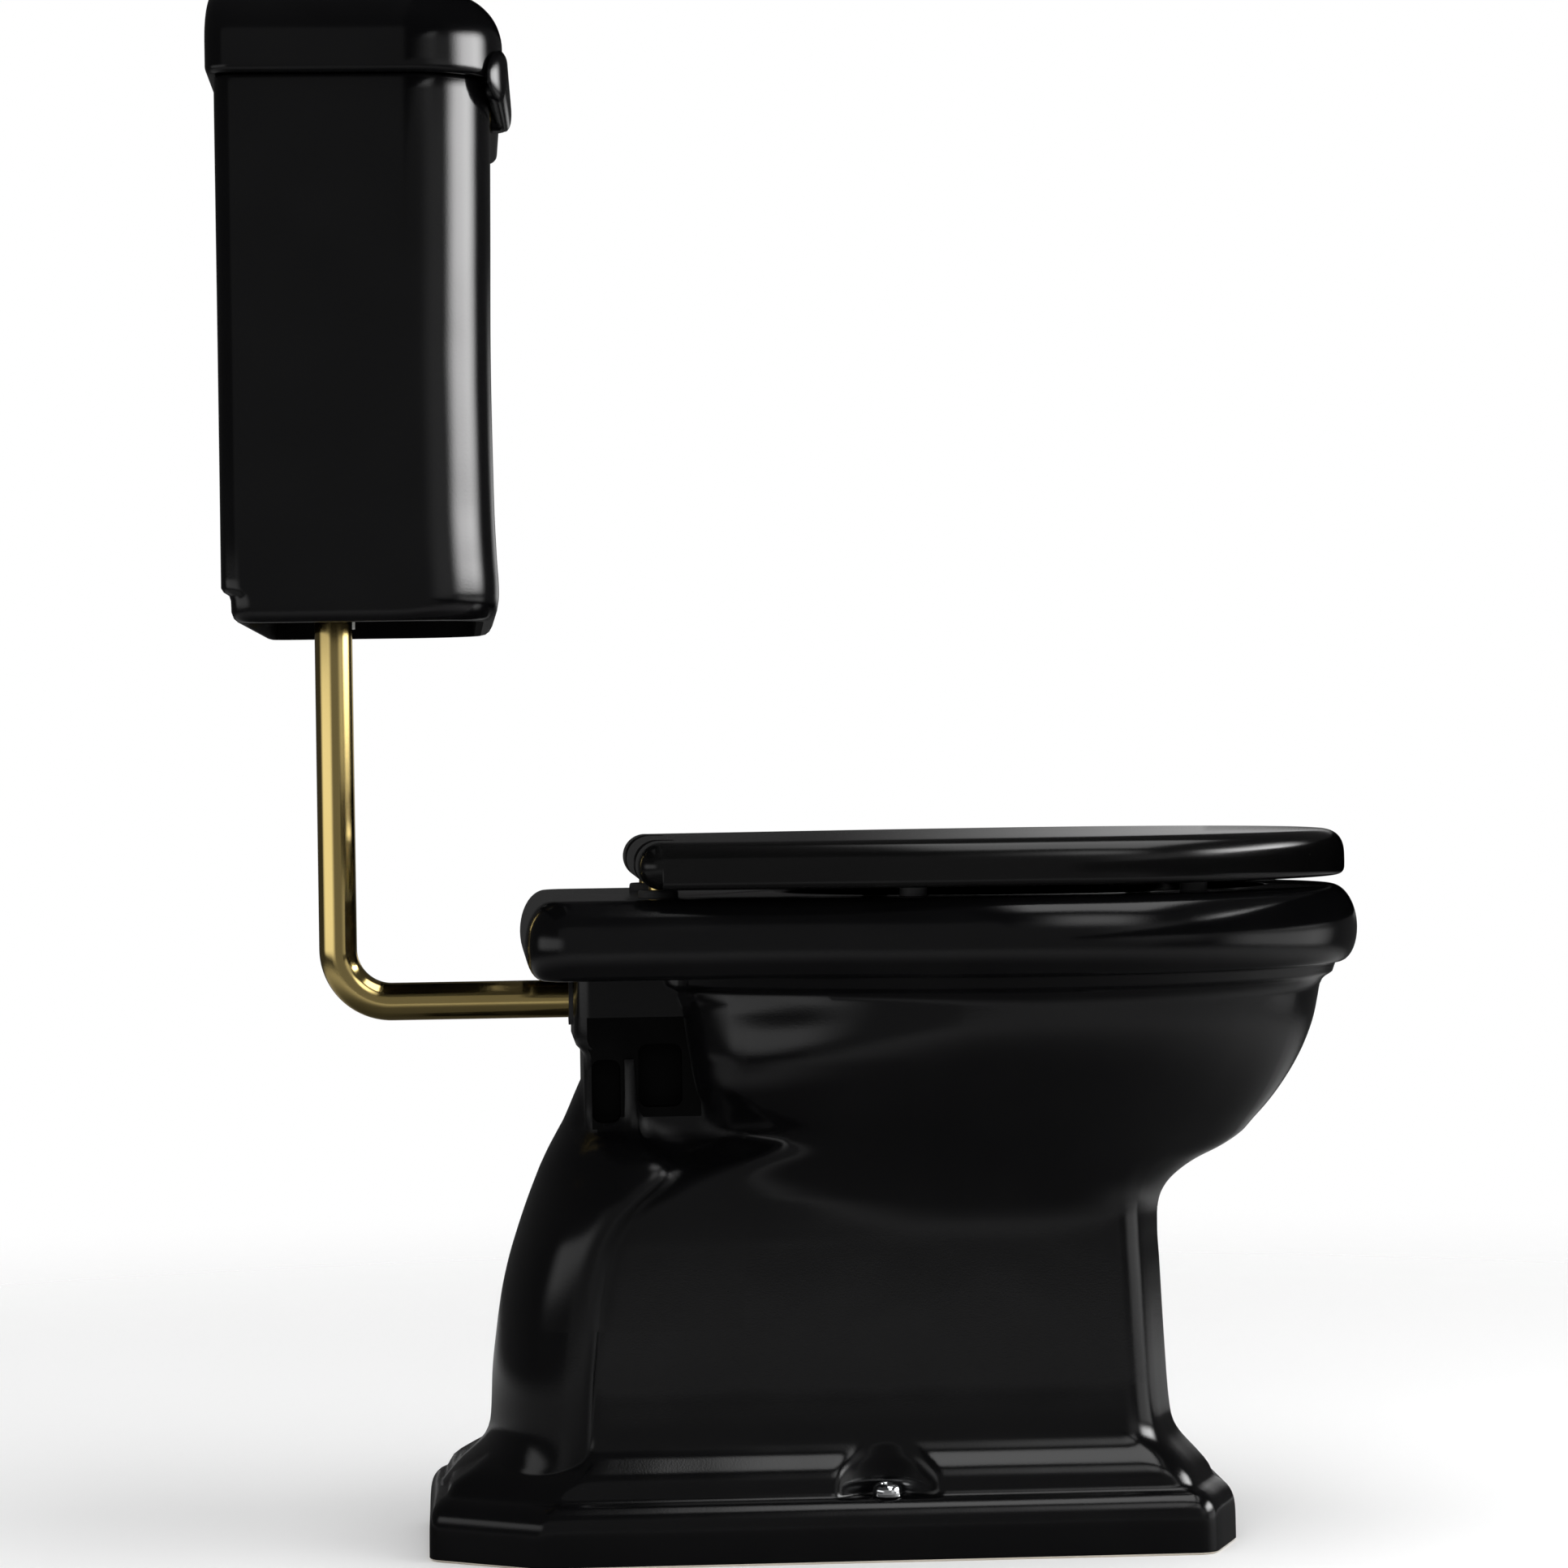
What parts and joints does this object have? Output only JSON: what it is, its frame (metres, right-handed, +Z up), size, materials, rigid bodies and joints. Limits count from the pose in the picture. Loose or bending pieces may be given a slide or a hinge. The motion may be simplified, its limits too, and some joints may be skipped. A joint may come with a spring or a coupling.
{
  "type": "low level toilet",
  "caption": "Low level toilet: moulded pedestal pan with hinged seat and lid, wall cistern with side lever, and a bent metal flush pipe between them.",
  "frame": {"origin": "on the floor, at the middle of the overall width and depth", "axes": "+Z up, -Y towards the front of the pan, +X to the right of someone who stands in front and faces the toilet; the lever is on the -X side"},
  "size_m": [0.52, 0.758, 1.01],
  "materials": {
    "glaze": "gloss black glaze",
    "seat": "gloss black lacquer",
    "gold": "polished pale gold plate",
    "chrome": "polished",
    "rubber": "matt black",
    "plastic": "moulded off-white"
  },
  "bodies": {
    "toilet": {"pan": "glaze", "flush_cone": "rubber", "floor_screws": "chrome", "screw_washers": "plastic", "screw_caps": "chrome", "hinge_pillars": "gold", "hinge_bolts": "chrome", "hinge_gaskets": "rubber", "hinge_washers": "plastic", "hinge_nuts": "chrome", "hinge_pins": "chrome", "cistern_body": "glaze", "flush_pipe": "gold", "pipe_nut": "gold", "pipe_seal": "rubber", "siphon_body": "plastic", "siphon_backnut": "plastic", "siphon_washers": "rubber", "lever_bush": "gold", "lever_nut": "gold", "fill_valve": "plastic", "valve_backnut": "plastic", "valve_washers": "rubber"},
    "ring": {"seat_ring": "seat", "ring_buffers": "rubber"},
    "lid": {"seat_lid": "seat", "lid_buffers": "rubber"},
    "tank_lid": {"cistern_lid": "glaze"},
    "lever": {"lever_handle": "glaze", "lever_spindle": "chrome", "lever_arm": "chrome"},
    "plunger": {"siphon_plunger": "plastic", "plunger_flap": "rubber", "lift_rod": "chrome"},
    "float": {"float_arm": "gold", "float_ball": "plastic"}
  },
  "joints": [
    {"name": "seat_hinge", "type": "hinge", "parent": "toilet", "child": "ring", "pos_m": [0, 0.098, 0.456], "axis": [-1, 0, 0], "range_deg": [0, 100]},
    {"name": "lid_hinge", "type": "hinge", "parent": "ring", "child": "lid", "pos_m": [0, 0.098, 0.456], "axis": [1, 0, 0], "range_deg": [-100, 0]},
    {"name": "flush_lever", "type": "hinge", "parent": "toilet", "child": "lever", "pos_m": [-0.165, 0.202, 0.94], "axis": [0, -1, 0], "range_deg": [0, 32]},
    {"name": "siphon_lift", "type": "slide", "parent": "toilet", "child": "plunger", "axis": [0, 0, 1], "range_m": [0, 0.053]},
    {"name": "float_hinge", "type": "hinge", "parent": "toilet", "child": "float", "pos_m": [0.182, 0.311, 0.908], "axis": [0, 1, 0], "range_deg": [0, 28]},
    {"name": "tank_lid_lift", "type": "slide", "parent": "toilet", "child": "tank_lid", "axis": [0, 0, 1], "range_m": [0, 0.12]}
  ],
  "couplings": [
    {"joint": "siphon_lift", "follows": "flush_lever", "m_per_rad": 0.0938}
  ]
}
